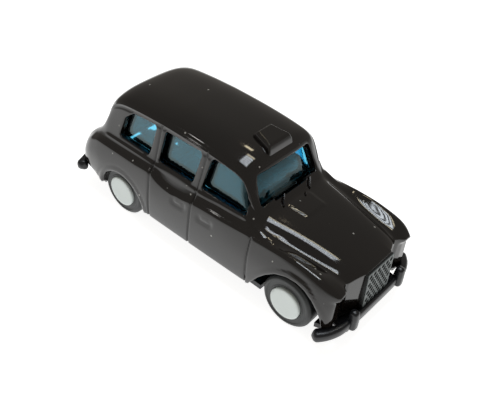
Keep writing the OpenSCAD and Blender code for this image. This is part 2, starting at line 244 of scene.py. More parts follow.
turn = np.linspace(0, 2 * math.pi, 49)[:-1]
FRONT_ARCH = filleted([(12.2, 0), (12.3, 3.6), (13.5, 5.7), (14.9, 7.7), (16.3, 9.4), (18.2, 11),
                       (20.3, 11.8), (22.3, 11.9), (24.1, 11.5), (25.8, 10.4), (27.1, 8.9),
                       (27.9, 7.2), (28.3, 5.4), (28.4, 0)], 3, 4)
REAR_ARCH = np.array([-19.8, 4.1]) + 5.9 * np.stack([np.cos(turn), np.sin(turn)], -1)
SIDE, END = (0, 2), (1, 2)             # which two coordinates an outline is drawn in
openings = [
    # name, outline, the plane it is drawn in, the part of the skin it can reach
    ("front window", filleted([(-.8, 16.7), (.5, 23), (5.5, 23), (7.5, 21.9), (9.3, 18.9), (9.55, 16.7)], .55),
     SIDE, lambda p: np.abs(p[..., 1]) > 7.6),
    ("middle window", filleted([(-11.5, 16.7), (-10.5, 23.1), (-1.65, 23.1), (-2.9, 16.7)], .55),
     SIDE, lambda p: np.abs(p[..., 1]) > 7.6),
    ("quarter window", filleted([(-22.1, 16.9), (-20.9, 21), (-18.9, 22.7), (-12.7, 23.1), (-13.9, 16.7)], .7),
     SIDE, lambda p: np.abs(p[..., 1]) > 7.6),
    ("windscreen", filleted([(-7.75, 17.5), (-6.95, 22.7), (6.95, 22.7), (7.75, 17.5)], .9),
     END, lambda p: (p[..., 0] > 6.5) & (p[..., 2] > 17.1)),
    ("rear window", filleted([(-5.2, 18.2), (-4.7, 22.5), (4.7, 22.5), (5.2, 18.2)], .8),
     END, lambda p: (p[..., 0] < -24) & (p[..., 2] > 17)),
    ("front arch", FRONT_ARCH, SIDE, lambda p: (np.abs(p[..., 1]) > 9) & (p[..., 2] < 12.8)),
    ("rear arch", REAR_ARCH, SIDE, lambda p: (np.abs(p[..., 1]) > 9) & (p[..., 2] < 12.8)),
]
print("openings:", [o[0] for o in openings])

# %% [markdown]
# The skin is laid out as one net of quads, closer together where a door gap or the gutter needs
# it. The doors' gaps aren't quite upright, so the cross lines lean with them: a gap then follows
# a line of the mesh and its edges stay crisp.

# %% Lay out the net
GAP_AT = {"front": 12.0, "middle": -1.5, "rear": -12.0}


def tent(x, left, peak, right):
    return np.clip(np.minimum((x - left) / (peak - left), (right - x) / (right - peak)), 0, 1)


def door_lean(x, z):
    """How far a cross line of the net shifts so that the two rear gaps lean as on the cab."""
    middle = np.interp(z, [4.2, 10, 14, 16, 23], [-.4, 0, 0, -.1, .9])
    rear = np.interp(z, [4.6, 12, 16, 23], [-.2, 0, -.3, .4])
    return middle * tent(x, -6.5, -1.5, 5) + rear * tent(x, -22, -12, -6.5)


def spread(lo, hi, step, places, near):
    """Even lines from lo to hi with extra ones on both sides of some places."""
    lines = [v for v in np.linspace(lo, hi, int((hi - lo) / step) + 1)
             if all(abs(v - p) > near[-1] + .35 * step for p in places)]
    for p in places:
        lines += [p] + [p + s * d for d in near for s in (-1, 1)]
    return np.array(sorted(lines))


line_x = spread(x_steps[0], x_steps[-1], 0.4, list(GAP_AT.values()), (.07, .15, .24, .36))
line_u = np.interp(line_x, x_steps, u_steps)
v_steps = np.linspace(MID_V, 2 * MID_V, 600)
ring = on_skin(outer_net, np.full(600, np.interp(-5, x_steps, u_steps)), v_steps)
girth = np.concatenate([[0], np.cumsum(np.linalg.norm(np.diff(ring, axis=0), axis=1))])
GUTTER_V = 19.35
gutter_at = float(np.interp(GUTTER_V, v_steps, girth))
line_g = spread(0, girth[-1], 0.37, [gutter_at], (.11, .22, .34, .5))
half_v = np.interp(line_g, girth, v_steps)
line_v = np.concatenate([2 * MID_V - half_v[:0:-1], half_v])

U = np.repeat(line_u[:, None], len(line_v), 1)
V = np.repeat(line_v[None], len(line_u), 0)
X0 = np.repeat(line_x[:, None], len(line_v), 1)
first = on_skin(outer_net, U, V)
lean = door_lean(X0, first[..., 2]) * np.clip((np.abs(first[..., 1]) - 6) / 2, 0, 1)
U = np.interp(X0 + lean, x_steps, u_steps)
print("net of the skin:", U.shape, "lines")

# %% [markdown]
# To cut an opening cleanly, every line of the net that crosses the outline has its nearer end
# moved exactly onto the outline. Quads then lie inside or outside, or are split along a diagonal.
# This leaves a smooth even edge, which a rounded rim can grow from.

# %% Cut the openings out of the net
KEEP, GONE, TRI = 0, 1, 2              # TRI + k keeps the triangle at corner k
state = np.zeros((U.shape[0] - 1, U.shape[1] - 1), int)


def flat(u, v, plane):
    p = on_skin(outer_net, u, v)
    return p, p[..., list(plane)]


for label, outline, plane, reach in openings:
    points, q = flat(U, V, plane)
    box_lo, box_hi = outline.min(0) - 1.5, outline.max(0) + 1.5
    near = reach(points) & ((q > box_lo) & (q < box_hi)).all(-1)
    S = np.full(U.shape, 9.0)
    S[near] = signed_distance(q[near], outline) - EDGE_ROUND
    best = np.full(U.shape, 9.0)
    target = np.zeros(U.shape + (2,))
    for di, dj in ((1, 0), (0, 1)):
        a = (slice(0, U.shape[0] - di), slice(0, U.shape[1] - dj))
        b = (slice(di, None), slice(dj, None))
        cross = (S[a] * S[b] < 0) & (np.abs(S[a]) < 5) & (np.abs(S[b]) < 5)
        t = np.where(cross, S[a] / np.where(cross, S[a] - S[b], 1), 0)
        for here, there, share in ((a, b, t), (b, a, 1 - t)):
            win = cross & (share <= .5) & (share < best[here])
            best[here] = np.where(win, share, best[here])
            target[here] = np.where(win[..., None], np.stack([U[there], V[there]], -1), target[here])
    moved = best < 1
    u0, v0, t = U[moved], V[moved], best[moved]
    u1, v1 = target[moved].T
    s0, prev_t, prev_s = S[moved], np.zeros(t.shape), S[moved]
    for _ in range(4):
        s = signed_distance(flat(u0 + t * (u1 - u0), v0 + t * (v1 - v0), plane)[1], outline) - EDGE_ROUND
        slope = np.where(np.abs(s - prev_s) > 1e-9, (t - prev_t) / np.where(s == prev_s, 1, s - prev_s), 0)
        prev_t, prev_s, t = t, s, np.clip(t - s * slope, -.1, .7)
    U[moved], V[moved] = u0 + t * (u1 - u0), v0 + t * (v1 - v0)
    side = np.sign(S)
    side[moved] = 0
    corner = np.stack([side[:-1, :-1], side[1:, :-1], side[1:, 1:], side[:-1, 1:]], -1)
    inside, outside = (corner < 0).any(-1), (corner > 0).any(-1)
    state[inside & ~outside] = GONE
    state[(corner == 0).all(-1)] = GONE
    for k in range(4):
        split = (corner[..., k] > 0) & (corner[..., (k + 2) % 4] < 0)
        state[split & (corner[..., (k + 1) % 4] == 0) & (corner[..., (k + 3) % 4] == 0)] = TRI + k
    print(f"{label}: {int(moved.sum())} points moved onto its outline")

# %% [markdown]
# Nose and tail close the net. From the last ring of the skin, more rings sink down to the lower
# edge, so the bonnet's end, the flat cheeks and the wings' rounded noses are one surface too. The
# nose has relief of its own: cheeks that fall back from the grille, a valley at each wing,
# and a brow.

# %% Close the nose and the tail
NOSE_FOOT = 4.2
NOSE_PLAN = [(0, .45), (3.6, .4), (4, .2), (6.9, -.85), (7.3, -1.1), (8, -.7), (9.2, -.4), (10.7, -.35)]


def nose_relief(p):
    """How far the nose stands ahead of the plain end of the skin."""
    y, z = np.abs(p[..., 1]), p[..., 2]
    plan = np.interp(y, *zip(*NOSE_PLAN))
    brow = .6 * np.clip((z - 11.2) / .8, 0, 1) * np.clip((y - 8) / .8, 0, 1)
    apron = -.3 * np.clip((5 - z) / .6, 0, 1)
    return plan + brow + apron


def closing_rings(rim, depth_z, count):
    """Rings from the rim of the skin down to a straight lower edge."""
    y, z = rim[:, 1], rim[:, 2]
    low_y = np.sign(y) * (8.3 * np.minimum(np.abs(y), 10.7) / 10.7
                          + 2.1 * np.clip((12.4 - z) / 8.2, 0, 1))
    foot = np.column_stack([rim[:, 0], low_y, np.full(len(rim), depth_z)])
    share = np.linspace(0, 1, count + 1)[1:, None, None]
    return rim + share * (foot - rim)


NOSE_RINGS, TAIL_RINGS = 26, 10
nets = {}
for label, net in (("outer", outer_net), ("inner", inner_net)):
    skin = on_skin(net, U, V)
    x = skin[..., 0]
    blend = np.clip((x - 25.5) / (x_steps[-1] - 25.5), 0, 1) ** 2
    nose = closing_rings(skin[-1], NOSE_FOOT + EDGE_ROUND, NOSE_RINGS)
    tail = closing_rings(skin[0], SILL_Z[0][1] + EDGE_ROUND, TAIL_RINGS)[::-1]
    rise = np.linspace(0, 1, TAIL_RINGS + 1)[1:][::-1, None]
    tail[..., 0] -= .25 * np.sin(math.pi * rise)
    if label == "outer":
        skin[..., 0] += blend * nose_relief(skin)
        nose[..., 0] += nose_relief(nose)
    nets[label] = np.vstack([tail, skin, nose])
R0, R1 = TAIL_RINGS, TAIL_RINGS + U.shape[0]      # rows that the spline itself gives
ROWS, COLS = nets["outer"].shape[:2]
print("closed net:", ROWS, "by", COLS, "points")

# %% [markdown]
# Small cast details are pushed in or out along the surface: the door gaps, the gutter, a moulding
# under the windows, a fine bead on the crest, lips round the arches, the vent ahead of the screen,
# the door handles in their recesses and the lid of the boot. They are real relief, so they catch
# the light.

# %% Cast relief
def ridge(d, width):
    return np.exp(-(d / width) ** 2)


def ramp(value, start, end):
    t = np.clip((value - start) / (end - start), 0, 1)
    return t * t * (3 - 2 * t)


def plateau(q, outline, soft):
    """1 well inside an outline, 0 outside, with a soft edge."""
    out = np.zeros(q.shape[:-1])
    near = ((q > outline.min(0) - .6) & (q < outline.max(0) + .6)).all(-1)
    out[near] = 1 - ramp(signed_distance(q[near], outline), -soft, soft)
    return out


def outward(p):
    du, dv = np.gradient(p, axis=0), np.gradient(p, axis=1)
    n = np.cross(du, dv)
    return n / np.maximum(np.linalg.norm(n, axis=-1, keepdims=True), 1e-9)


shell = nets["outer"]
normals = outward(shell)
x, y, z = (shell[..., k] for k in range(3))
side = ramp(np.abs(y), 8.2, 8.8)
xi = np.vstack([np.repeat(X0[:1], R0, 0), X0, np.repeat(X0[-1:], ROWS - R1, 0)])
vv = np.vstack([np.repeat(V[:1], R0, 0), V, np.repeat(V[-1:], ROWS - R1, 0)])
relief = np.zeros(shell.shape[:2])

for label, top in (("front", 14.3), ("middle", 24), ("rear", 24)):
    if label == "front":
        reach = side * (1 - ramp(z, top, top + .5)) * ramp(np.abs(y), 10.9, 11.2)
    else:
        reach = side * (1 - ramp(z, 23.3, 23.8))
    relief -= .3 * np.exp(-(np.abs(xi - GAP_AT[label]) / .17) ** 3) * reach

from_gutter = np.interp(np.abs(vv - MID_V) + MID_V, v_steps, girth) - gutter_at
rail = ramp(x, -25.5, -23.5) * (1 - ramp(x, 9.4, 10.2))
relief += rail * (.17 * ridge(from_gutter, .24) - .12 * ridge(from_gutter - .5, .2))
ledge = np.interp(x, [-27, -1, 9.8], [15.7, 15.75, 16.35])
relief += .13 * side * ridge(z - ledge, .2) * ramp(x, -26, -24.5) * (1 - ramp(x, 9.6, 10.4))

crest_line = np.array([along(q, CREST_Z) for q in x_steps])
from_crest = z - np.interp(x, x_steps, crest_line)
relief += .1 * side * ridge(from_crest - .05, .22) * ramp(x, -29, -27) * (1 - ramp(x, 24, 27))

flank = np.abs(y) > 8.8
for arch, start, end in ((FRONT_ARCH, 9, 29), (REAR_ARCH, -27, -12)):
    near = flank & (x > start) & (x < end) & (z < 14)
    far = signed_distance(shell[near][:, [0, 2]], arch)
    relief[near] += .16 * ridge(far - .62, .26) - .07 * ridge(far - 1.15, .22)

vent = filleted([(12.7, -2.9), (12.7, 2.9), (16.6, 2.5), (16.6, -2.5)], .5)
on_top = (z > 14.5) & (np.abs(y) < 5)
relief += np.where(on_top, .14 * plateau(shell[..., :2], vent, .12), 0)
for hx in (-6.1, .4):
    recess = filleted([(hx, 11.2), (hx + 3.3, 11.4), (hx + 3.3, 12.8), (hx, 12.6)], .5)
    relief -= .22 * side * plateau(shell[..., [0, 2]], recess, .22)
    relief += .3 * side * ridge(z - (12.15 + .05 * (x - hx)), .22) * ramp(x, hx + .3, hx + .7) * (
        1 - ramp(x, hx + 2.6, hx + 3))
lid = filleted([(-5.6, 9), (-5.3, 15), (5.3, 15), (5.6, 9)], 1.2)
blank_plate = filleted([(-3, 10), (-3, 12.3), (3, 12.3), (3, 10)], .3)
behind = x < -27.5
lid_far = np.full(x.shape, 9.0)
lid_far[behind] = signed_distance(shell[behind][:, 1:], lid)
relief -= np.where(behind, .2 * ridge(lid_far, .2), 0)
plate_far = np.full(x.shape, 9.0)
plate_far[behind] = signed_distance(shell[behind][:, 1:], blank_plate)
relief += np.where(behind, .15 * (1 - ramp(plate_far, -.1, .15)), 0)
for s in (-1, 1):
    lamp = np.sqrt((y - s * 8.6) ** 2 + (z - 10.6) ** 2)
    relief += np.where(behind, .3 * np.sqrt(np.clip(1 - (lamp / 1.05) ** 2, 0, 1)), 0)
shell = shell + relief[..., None] * normals
normals = outward(shell)
print("relief from", round(float(relief.min()), 2), "to", round(float(relief.max()), 2), "mm")

# %% [markdown]
# The same net taken in by the wall's thickness is the inside of the casting. Round every opening
# and along the sills, a quarter-round rim and a short straight wall join the two, as on a real
# casting whose edges are softened by thick paint.

# %% Join outside and inside
faces, n_skin = [], ROWS * COLS
cell = np.zeros((ROWS - 1, COLS - 1), int)
cell[R0:R1 - 1] = state
index = np.arange(n_skin).reshape(ROWS, COLS)
quads = np.stack([index[:-1, :-1], index[1:, :-1], index[1:, 1:], index[:-1, 1:]], -1)
for (i, j), kind in np.ndenumerate(cell):
    q = quads[i, j]
    if kind == KEEP:
        faces.append([int(k) for k in q])
    elif kind >= TRI:
        k = kind - TRI
        faces.append([int(q[(k + 3) % 4]), int(q[k]), int(q[(k + 1) % 4])])
skin_faces = len(faces)
points = [shell.reshape(-1, 3), nets["inner"].reshape(-1, 3)]
flat_normals = normals.reshape(-1, 3)
once = {}
for f in faces:
    for a, b in zip(f, f[1:] + f[:1]):
        if (b, a) in once:
            del once[(b, a)]
        else:
            once[(a, b)] = True
after = {a: b for a, b in once}
faces += [[k + n_skin for k in reversed(f)] for f in faces]
total, loops = 2 * n_skin, 0
while after:
    start = next(iter(after))
    loop, here = [], start
    while here in after:
        loop.append(here)
        here = after.pop(here)
    loops += 1
    p, n = points[0][loop], flat_normals[loop]
    d = np.roll(p, -1, 0) - np.roll(p, 1, 0)
    d /= np.maximum(np.linalg.norm(d, axis=1, keepdims=True), 1e-9)
    t = np.cross(d, n)
    t /= np.maximum(np.linalg.norm(t, axis=1, keepdims=True), 1e-9)
    rings = [np.array(loop)]
    for angle in np.radians([30, 60, 90]):
        points.append(p + EDGE_ROUND * (t * math.sin(angle) - n * (1 - math.cos(angle))))
        rings.append(np.arange(total, total + len(loop)))
        total += len(loop)
    rings.append(np.array(loop) + n_skin)
    for near, far in zip(rings, rings[1:]):
        for k in range(len(loop)):
            m = (k + 1) % len(loop)
            faces.append([int(near[m]), int(near[k]), int(far[k]), int(far[m])])
casting_points = np.vstack(points) + [mid_x, 0, 0]
used = np.zeros(len(casting_points), bool)
used[[k for f in faces for k in f]] = True
renumber = np.cumsum(used) - 1
faces = [[int(renumber[k]) for k in f] for f in faces]
casting = piece("casting", casting_points[used], faces, "cab", "black_paint", ["body_shell"])
print(loops, "edges rounded;", skin_faces, "faces outside;", len(faces), "in all")


def skin_z(x, y):
    """Height of the outside at a place on roof, bonnet or boot, x from the middle of the wheelbase."""
    d = (shell[..., 0] - x) ** 2 + (shell[..., 1] - y) ** 2 + np.where(shell[..., 2] < 12, 99, 0)
    return float(shell[..., 2].flat[int(np.argmin(d))])

# %% [markdown]
# The windows aren't separate panes. One clear blue moulding, a thin box without a floor, sits
# inside the cabin, so the glazing shows sunk behind the openings, from the windscreen back to the
# rear window. It is the same surface taken in a little further than the wall, and again by its
# own thickness.

# %% Window moulding
GLAZE, GLAZE_GAP, FOOT_Z = 0.8, 0.12, 15.95    # its thickness, its play in the casting, its foot
glaze_lines = np.arange(-29.7, 11.5, 0.5)


def glaze_skin(inset, n=96):
    net = cage(inset)
    rows = []
    for gx in glaze_lines:
        u = np.full(400, np.interp(gx, x_steps, u_steps))
        v = np.linspace(4, 26, 400)
        p = on_skin(net, u, v)
        high = p[:, 2] >= FOOT_Z
        if not high.any():
            p, high = p + [0, 0, FOOT_Z + .2 - p[:, 2].max()], np.abs(v - MID_V) < 3
        kept = p[high]
        run = np.concatenate([[0], np.cumsum(np.linalg.norm(np.diff(kept, axis=0), axis=1))])
        at = np.linspace(0, run[-1], n)
        rows.append(np.stack([np.interp(at, run, kept[:, k]) for k in range(3)], -1))
    return np.array(rows)


skins = [glaze_skin(WALL + GLAZE_GAP), glaze_skin(WALL + GLAZE_GAP + GLAZE)]
rows, cols = skins[0].shape[:2]
grid = np.arange(rows * cols).reshape(rows, cols)
quads = np.stack([grid[:-1, :-1], grid[1:, :-1], grid[1:, 1:], grid[:-1, 1:]], -1).reshape(-1, 4)
rim = np.concatenate([grid[:, 0], grid[-1, 1:], grid[::-1, -1][1:], grid[0, ::-1][1:-1]])
other = rows * cols
faces = quads.tolist() + (quads[:, ::-1] + other).tolist()
faces += [[int(b), int(a), int(a) + other, int(b) + other] for a, b in zip(rim, np.roll(rim, -1))]
piece("window_moulding", np.vstack([s.reshape(-1, 3) for s in skins]) + [mid_x, 0, 0], faces, "cab",
      "blue_clear_plastic", ["window_insert"])
print("window moulding:", len(faces), "faces")

# %% [markdown]
# The grille is cast with the body and stands a little proud between the cheeks. It is a shallow
# lattice before a backing. The cells are real six-sided holes in staggered rows, cut by one
# boolean, so their walls shade by themselves, and a fine bevel gives each bar a lit edge.

# %% Grille
def prism(outline, axis, start, stop):
    """Corners and faces of an outline pushed from start to stop along x, y or z."""
    n = len(outline)
    ends = [np.insert(np.asarray(outline, float), axis, value, axis=1) for value in (start, stop)]
    sides = [[k, (k + 1) % n, n + (k + 1) % n, n + k] for k in range(n)]
    return np.vstack(ends), sides + [list(range(n))[::-1], list(range(n, 2 * n))]


def face_out(obj):
    bm = bmesh.new()
    bm.from_mesh(obj.data)
    bmesh.ops.recalc_face_normals(bm, faces=bm.faces)
    bm.to_mesh(obj.data)
    bm.free()


def block(name, outline, axis, start, stop, slot, stands_for=()):
    """A straight-sided piece of the cab."""
    made = piece(name, *prism(outline, axis, start, stop), "cab", slot, stands_for)
    face_out(made)
    return made


def soften(obj, width, segments=2, angle=35):
    """Round every edge sharper than angle, and keep flat faces flat to the eye."""
    bevel = obj.modifiers.new("rounded edges", "BEVEL")
    bevel.width, bevel.segments = width * MM, segments
    bevel.limit_method, bevel.angle_limit = "ANGLE", math.radians(angle)
    bevel.harden_normals = True


def cut_with(obj, corners, faces):
    """Take a solid made of corners and faces out of obj."""
    mesh = bpy.data.meshes.new("cutter")
    mesh.from_pydata((np.asarray(corners) * MM).tolist(), [], faces)
    cutter = bpy.data.objects.new("cutter", mesh)
    bpy.context.scene.collection.objects.link(cutter)
    face_out(cutter)
    cut = obj.modifiers.new("cut", "BOOLEAN")
    cut.operation, cut.object, cut.solver = "DIFFERENCE", cutter, "EXACT"
    bpy.context.view_layer.update()
    made = bpy.data.meshes.new_from_object(obj.evaluated_get(bpy.context.evaluated_depsgraph_get()))
    obj.modifiers.remove(cut)
    obj.data = made
    bpy.data.objects.remove(cutter)


GRILLE_HALF, GRILLE_LOW, GRILLE_HIGH = 3.8, 4.75, 13.2
GRILLE_ROWS, GRILLE_COLUMNS, PITCH, ROW_SHARE, CELL_RADIUS = 9, 6, 1.22, .72, .47
DEEP = .17                                     # how far the lattice stands before its backing


def lean_x(z):
    return np.interp(z, [GRILLE_LOW, GRILLE_HIGH], [30.75, 30.5])


def slab(name, back, front):
    """A slab as wide and high as the grille, its back and front given at foot and top."""
    profile = [(back[0], GRILLE_LOW), (front[0], GRILLE_LOW), (front[1], GRILLE_HIGH), (back[1], GRILLE_HIGH)]
    return block(name, [(px + mid_x, pz) for px, pz in profile], 1, -GRILLE_HALF, GRILLE_HALF, "black_paint")


grille_face = lean_x(np.array([GRILLE_LOW, GRILLE_HIGH]))
slab("grille_backing", (28.9, 28.9), grille_face - DEEP + .02)
grille = slab("grille", grille_face - DEEP, grille_face)
cell_corners, cell_faces = [], []
for row in range(GRILLE_ROWS):
    columns = GRILLE_COLUMNS - row % 2
    for column in range(columns):
        cy = (column - (columns - 1) / 2) * PITCH
        cz = GRILLE_LOW + .7 + row * PITCH * ROW_SHARE
        ring = [(cy + CELL_RADIUS * math.sin(a), cz + CELL_RADIUS * math.cos(a))
                for a in np.radians(range(0, 360, 60))]
        c, f = prism(ring, 0, 29.5 + mid_x, 32 + mid_x)
        cell_faces += [[k + len(cell_corners) * 12 for k in face] for face in f]
        cell_corners.append(c)
cut_with(grille, np.vstack(cell_corners), cell_faces)
soften(grille, .05)
print("grille cells:", len(cell_corners))

# %% [markdown]
# The roof sign is a low wedge, wider at the front, blended onto the roof. Ahead of the screen
# are two wipers, cast as short raised bars that lie on the scuttle.

# %% Roof sign and wipers
roof = {sx: skin_z(sx, 0) for sx in (3.0, 7.2)}
sign_plan = [  # x, half width and height over the roof, from the foot to the top
    [(2.8, 2.2, -.5), (7.75, 3.2, -.7)],
    [(3.0, 2.1, .35), (7.55, 3.1, .35)],
    [(3.7, 1.75, 1.1), (7.1, 2.7, 1.3)]]
ring_points = []
for (x0, w0, h0), (x1, w1, h1) in sign_plan:
    z0, z1 = roof[3.0] + h0, roof[7.2] + h1
    ring_points += [(x0, -w0, z0), (x1, -w1, z1), (x1, w1, z1), (x0, w0, z0)]
faces = [[4 * r + k, 4 * r + (k + 1) % 4, 4 * r + 4 + (k + 1) % 4, 4 * r + 4 + k]
         for r in range(2) for k in range(4)] + [[3, 2, 1, 0], [8, 9, 10, 11]]
sign = piece("roof_sign", np.array(ring_points) + [mid_x, 0, 0], faces, "cab", "black_paint")
soften(sign, .3, 4, 20)


def sweep(name, path, half_wide, half_high, body, slot, power=2.4, around=24, cap=.6):
    """A bar along a path, with its own half width and half height at every point and rounded ends."""
    path = np.asarray(path, float)
    run = np.concatenate([[0], np.cumsum(np.linalg.norm(np.diff(path, axis=0), axis=1))])
    inner = np.linspace(0, run[-1], max(12, int(run[-1] / .45)))
    ends = cap * (1 - np.cos(np.linspace(0, math.pi / 2, 7)))
    at = np.unique(np.round(np.concatenate([ends, inner[(inner > cap) & (inner < run[-1] - cap)],
                                            run[-1] - ends]), 5))
    smooth = lambda rows: np.interp(at, run, rows)
    p = np.stack([smooth(path[:, k]) for k in range(3)], -1)
    for _ in range(6):
        p[1:-1] = .25 * p[:-2] + .5 * p[1:-1] + .25 * p[2:]
    d = np.gradient(p, axis=0)
    d /= np.linalg.norm(d, axis=1, keepdims=True)
    up = np.array([0, 0, 1.0]) if abs(d[len(d) // 2][2]) < .8 else np.array([1.0, 0, 0])
    side = np.cross(d, up)
    side /= np.linalg.norm(side, axis=1, keepdims=True)
    high = np.cross(side, d)
    near_end = np.minimum(at, run[-1] - at) / cap
    close = np.sqrt(np.clip(1 - (1 - np.clip(near_end, 0, 1)) ** 2, .0004, 1))
    a = np.linspace(0, 2 * math.pi, around, endpoint=False)
    ca, sa = (np.sign(f) * np.abs(f) ** (2 / power) for f in (np.cos(a), np.sin(a)))
    rings = (p[:, None] + side[:, None] * (ca[None, :, None] * (smooth(half_wide) * close)[:, None, None])
             + high[:, None] * (sa[None, :, None] * (smooth(half_high) * close)[:, None, None]))
    n, m = len(at), around
    faces = [[r * m + k, (r + 1) * m + k, (r + 1) * m + (k + 1) % m, r * m + (k + 1) % m]
             for r in range(n - 1) for k in range(m)]
    faces += [list(range(m)), list(range((n - 1) * m, n * m))[::-1]]
    obj = piece(name, rings.reshape(-1, 3) + [mid_x, 0, 0], faces, body, slot)
    face_out(obj)
    return obj


for name, a, b in (("wiper_left", (10.9, 5.1), (12.3, 3.5)), ("wiper_right", (10.9, -2.1), (12.3, -3.7)),
                   ("washer_jet", (12.5, 1.9), (13.1, 1.3))):
    ends = [(qx, qy, skin_z(qx, qy) + .1) for qx, qy in (a, b)]
    middle = [(ends[0][k] + ends[1][k]) / 2 + (0, 0, .12)[k] for k in range(3)]
    sweep(name, [ends[0], middle, ends[1]], [.2, .17, .2], [.22, .2, .22], "cab", "black_paint",
          2, 12, .2)
print("roof at the sign:", {k: round(v, 2) for k, v in roof.items()})

# %% [markdown]
# The base is one black plastic moulding: a plate that closes the casting from below, bearings for
# the axles, a wall inside each wheel well, and both bumpers with their upright overriders.
# The plate's outline is the casting's inside at its foot, a hair smaller, so no light leaks round
# it. The bars end in rounded clubs that wrap round the wings.

# %% Base plate and bumpers
FIT = .08
PLATE_LOW, PLATE_HIGH = 3.6, 4.7
inside = nets["inner"]                          # its lowest line is the plan of the plate
tail_end, sill, nose_end = inside[0], inside[R0:R1, -1], inside[-1]
plate_rear, plate_front = tail_end[:, 0].max() + FIT, nose_end[:, 0].min() - FIT
plan = [(plate_rear, abs(tail_end[:, 1]).max() - FIT)]
plan += [(px, abs(py) - FIT) for px, py in sill[4:-4:4, :2] if plate_rear + .3 < px < plate_front + FIT - .5]
plan += [(plate_front, abs(nose_end[:, 1]).max() - FIT)]
well_half = axle_at["front"].z + .7             # half the length of a wheel well
well_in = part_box("front_left_tyre")[0].y / MM - .5
edge = []
for end in ("rear", "front"):
    centre_x = axle_at[end].x - mid_x
    start, stop = centre_x - well_half, centre_x + well_half
    edge += [q for q in plan if (not edge or q[0] > edge[-1][0]) and q[0] < start]
    edge += [(start, np.interp(start, *zip(*plan))), (start, well_in), (stop, well_in),
             (stop, np.interp(stop, *zip(*plan)))]
edge += [q for q in plan if q[0] > edge[-1][0]]
outline = [(px + mid_x, py) for px, py in edge] + [(px + mid_x, -py) for px, py in edge[::-1]]
plate = block("base_floor", outline, 2, PLATE_LOW, PLATE_HIGH, "black_plastic", ["base_plate"])
posts = {"front": mid_x + 14.6, "rear": mid_x - 29.2}
for px in posts.values():
    around = [(px + 2 * math.cos(a), 2 * math.sin(a)) for a in np.radians(range(0, 360, 10))]
    cut_with(plate, *prism(around, 2, PLATE_LOW - 1, PLATE_LOW + .5))
long_panel = filleted([(-12.5, -7.2), (12, -7.2), (12, 7.2), (-12.5, 7.2)], 1.5) + [mid_x, 0]
cut_with(plate, *prism(long_panel, 2, PLATE_LOW - 1, PLATE_LOW + .22))
soften(plate, .16, 3)

for end, c in axle_at.items():
    half = [(1.7, PLATE_HIGH - .4), (1.7, c.z + 1), (1.2, c.z + 1.45)]
    profile = [(c.x - px, pz) for px, pz in half] + [(c.x + px, pz) for px, pz in half[::-1]]
    bearing = block(f"{end}_bearing", profile, 1, -well_in + .6, well_in - .6, "black_plastic")
    bore = [(c.x + .7 * math.cos(a), c.z + .7 * math.sin(a)) for a in np.radians(range(0, 360, 15))]
    cut_with(bearing, *prism(bore, 1, -12, 12))
    soften(bearing, .15)
    for s, side_name in ((-1, "right"), (1, "left")):
        wall = [(c.x + 7 * math.cos(a), max(PLATE_HIGH - .3, c.z + 7 * math.sin(a)))
                for a in np.radians(range(0, 181, 10))]
        soften(block(f"{end}_{side_name}_wheel_tub", wall, 1, s * 7.8, s * 8.7, "black_plastic"), .15)
for rib in (-6, 0, 6):
    sweep(f"floor_rib_{rib + 6}", [(rib, -6.6, PLATE_LOW + .25), (rib, 6.6, PLATE_LOW + .25)],
          [.35] * 2, [.22] * 2, "cab", "black_plastic", 3, 12, .3)
for name, start, stop in (("front", plate_front + .02, 31.1), ("rear", plate_rear - .02, -33.8)):
    tongue = [(mid_x + start, -8.6), (mid_x + stop, -8.2), (mid_x + stop, 8.2), (mid_x + start, 8.6)]
    soften(block(f"{name}_apron", tongue, 2, PLATE_LOW + .02, 4.15, "black_plastic"), .12)
print("plate plan:", len(plan), "points, from x", round(plate_rear, 2), "to", round(plate_front, 2))


def both_sides(half):
    return [(px, -py, pz) for px, py, pz in half[:0:-1]] + half


TIP_DROP = .6                                  # the tips hang up to this much lower
bars = {  # half plan of each bar, its height, half width and half height from the middle to the tip
    "front": ([(30.95, 0), (30.95, 4), (30.85, 7), (30.4, 9.8), (29.3, 11.7), (28.2, 12.9), (27.5, 13.4)],
              5.0, [.5, .5, .55, .8, 1.0, 1.05, .95], [1.0, 1.0, 1.0, 1.0, 1.0, 1.0, .95]),
    "rear": ([(-33.95, 0), (-33.95, 4), (-33.9, 6.8), (-33.5, 9.3), (-32.8, 11), (-32.1, 12),
              (-31.6, 12.7)],
             5.7, [.42, .42, .42, .5, .8, 1.1, 1.05], [1.0, 1.0, 1.0, 1.0, 1.05, 1.15, 1.05])}
overriders = {"front": (31.1, 7, 3.75, 8.0), "rear": (-33.75, 6.4, 3.95, 7.85)}   # x, y, foot, top
UPRIGHT = [.86, .88, .86, .7]                  # half width of an overrider from foot to top
for name, (half, bz, wide, tall) in bars.items():
    line = both_sides([(px, py, bz - TIP_DROP * max(0, py - 9) / 4.5) for px, py in half])
    wide, tall = (rows[:0:-1] + rows for rows in (wide, tall))
    sweep(f"{name}_bumper", line, wide, tall, "cab", "black_plastic", 2.8, 28, .9)
    ox, oy, low, high = overriders[name]
    for s, tag in ((-1, "right"), (1, "left")):
        sweep(f"{name}_overrider_{tag}", [(ox, s * oy, zz) for zz in np.linspace(low, high, 4)],
              UPRIGHT, [w * 1.05 for w in UPRIGHT], "cab", "black_plastic", 2.8, 28, .5)
print("bumpers:", list(bars))

# %% [markdown]
# Two posts of the casting come down through the base, and their ends are peened over like rivets
# in shallow countersinks. They are what holds the toy together.

